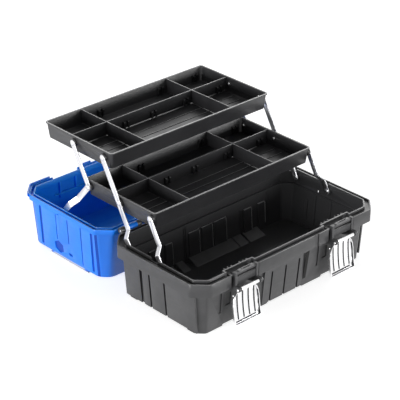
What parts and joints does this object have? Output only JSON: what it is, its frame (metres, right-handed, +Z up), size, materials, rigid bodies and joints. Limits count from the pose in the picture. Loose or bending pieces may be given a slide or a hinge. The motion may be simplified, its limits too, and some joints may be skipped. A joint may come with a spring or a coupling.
{
  "type": "cantilever tool box",
  "caption": "Plastic tool box with a hinged lid, cantilever trays on steel arms that rise as the lid opens, flip latches, a folding handle and hinged organiser covers.",
  "frame": {"origin": "centre of the base's underside", "axes": "+X along the box's length to its right end, +Y to the back where the lid is hinged, +Z up"},
  "size_m": [0.4366, 0.4836, 0.2436],
  "materials": {
    "base_plastic": "moulded, fine grained, satin",
    "lid_plastic": "moulded, smooth, semi-gloss",
    "tray_plastic": "moulded, satin",
    "strap_steel": "zinc plated, brushed",
    "rivet_steel": "plated",
    "pin_steel": "plated",
    "latch_steel": "bright plated, pressed ribs",
    "handle_plastic": "moulded, satin",
    "clear_plastic": "clear, polished"
  },
  "bodies": {
    "base": {"base_shell": "base_plastic", "base_arm_rivets": "rivet_steel", "hinge_pins": "pin_steel", "latch_pins": "latch_steel"},
    "lid": {"lid_shell": "lid_plastic", "handle_pins": "pin_steel", "cover_pins": "pin_steel", "catch_screws": "pin_steel"},
    "lower_tray": {"lower_tray": "tray_plastic", "lower_tray_dividers": "tray_plastic", "lower_tray_rivets": "rivet_steel"},
    "upper_tray": {"upper_tray": "tray_plastic", "upper_tray_dividers": "tray_plastic", "upper_tray_rivets": "rivet_steel"},
    "main_arms": {"main_arm_left": "strap_steel", "main_arm_right": "strap_steel"},
    "front_arms": {"front_arm_left": "strap_steel", "front_arm_right": "strap_steel"},
    "rear_arms": {"rear_arm_left": "strap_steel", "rear_arm_right": "strap_steel"},
    "lid_links": {"lid_link_left": "strap_steel", "lid_link_right": "strap_steel", "lid_link_pins": "rivet_steel"},
    "latch_left": {"latch_plate_left": "latch_steel"},
    "latch_right": {"latch_plate_right": "latch_steel"},
    "handle": {"carrying_handle": "handle_plastic"},
    "cover_left": {"organiser_cover_left": "clear_plastic"},
    "cover_right": {"organiser_cover_right": "clear_plastic"}
  },
  "joints": [
    {"name": "lid_hinge", "type": "hinge", "parent": "base", "child": "lid", "pos_m": [0, 0.1195, 0.1052], "axis": [1, 0, 0], "range_deg": [0, 180]},
    {"name": "main_arm_swing", "type": "hinge", "parent": "base", "child": "main_arms", "pos_m": [0, 0.075, 0.093], "axis": [1, 0, 0], "range_deg": [0, 96]},
    {"name": "front_arm_swing", "type": "hinge", "parent": "base", "child": "front_arms", "pos_m": [0, -0.003, 0.093], "axis": [1, 0, 0], "range_deg": [0, 96]},
    {"name": "lower_tray_turn", "type": "hinge", "parent": "main_arms", "child": "lower_tray", "pos_m": [0, 0.115, 0.16228], "axis": [1, 0, 0], "range_deg": [-96, 0]},
    {"name": "upper_tray_turn", "type": "hinge", "parent": "main_arms", "child": "upper_tray", "pos_m": [0, 0.155, 0.23156], "axis": [1, 0, 0], "range_deg": [-96, 0]},
    {"name": "rear_arm_swing", "type": "hinge", "parent": "lower_tray", "child": "rear_arms", "pos_m": [0, 0.193, 0.16228], "axis": [1, 0, 0], "range_deg": [0, 96]},
    {"name": "lid_link_swing", "type": "hinge", "parent": "lower_tray", "child": "lid_links", "pos_m": [0, 0.193, 0.16228], "axis": [1, 0, 0], "range_deg": [0, 232.24]},
    {"name": "latch_left_turn", "type": "hinge", "parent": "base", "child": "latch_left", "pos_m": [-0.115, -0.124, 0.0795], "axis": [-1, 0, 0], "range_deg": [0, 190]},
    {"name": "latch_right_turn", "type": "hinge", "parent": "base", "child": "latch_right", "pos_m": [0.115, -0.124, 0.0795], "axis": [-1, 0, 0], "range_deg": [0, 190]},
    {"name": "handle_turn", "type": "hinge", "parent": "lid", "child": "handle", "pos_m": [0, 0.217, 0.0056], "axis": [-1, 0, 0], "range_deg": [0, 95]},
    {"name": "cover_left_turn", "type": "hinge", "parent": "lid", "child": "cover_left", "pos_m": [-0.1099, 0.239, 0.0029], "axis": [0, -1, 0], "range_deg": [0, 95]},
    {"name": "cover_right_turn", "type": "hinge", "parent": "lid", "child": "cover_right", "pos_m": [0.1099, 0.239, 0.0029], "axis": [0, 1, 0], "range_deg": [0, 95]}
  ],
  "couplings": [
    {"joint": "main_arm_swing", "follows": "lid_hinge", "ratio": 0.53333},
    {"joint": "front_arm_swing", "follows": "lid_hinge", "ratio": 0.53333},
    {"joint": "lower_tray_turn", "follows": "lid_hinge", "ratio": -0.53333},
    {"joint": "upper_tray_turn", "follows": "lid_hinge", "ratio": -0.53333},
    {"joint": "rear_arm_swing", "follows": "lid_hinge", "ratio": 0.53333},
    {"joint": "lid_link_swing", "follows": "lid_hinge", "ratio": 1.2902}
  ]
}
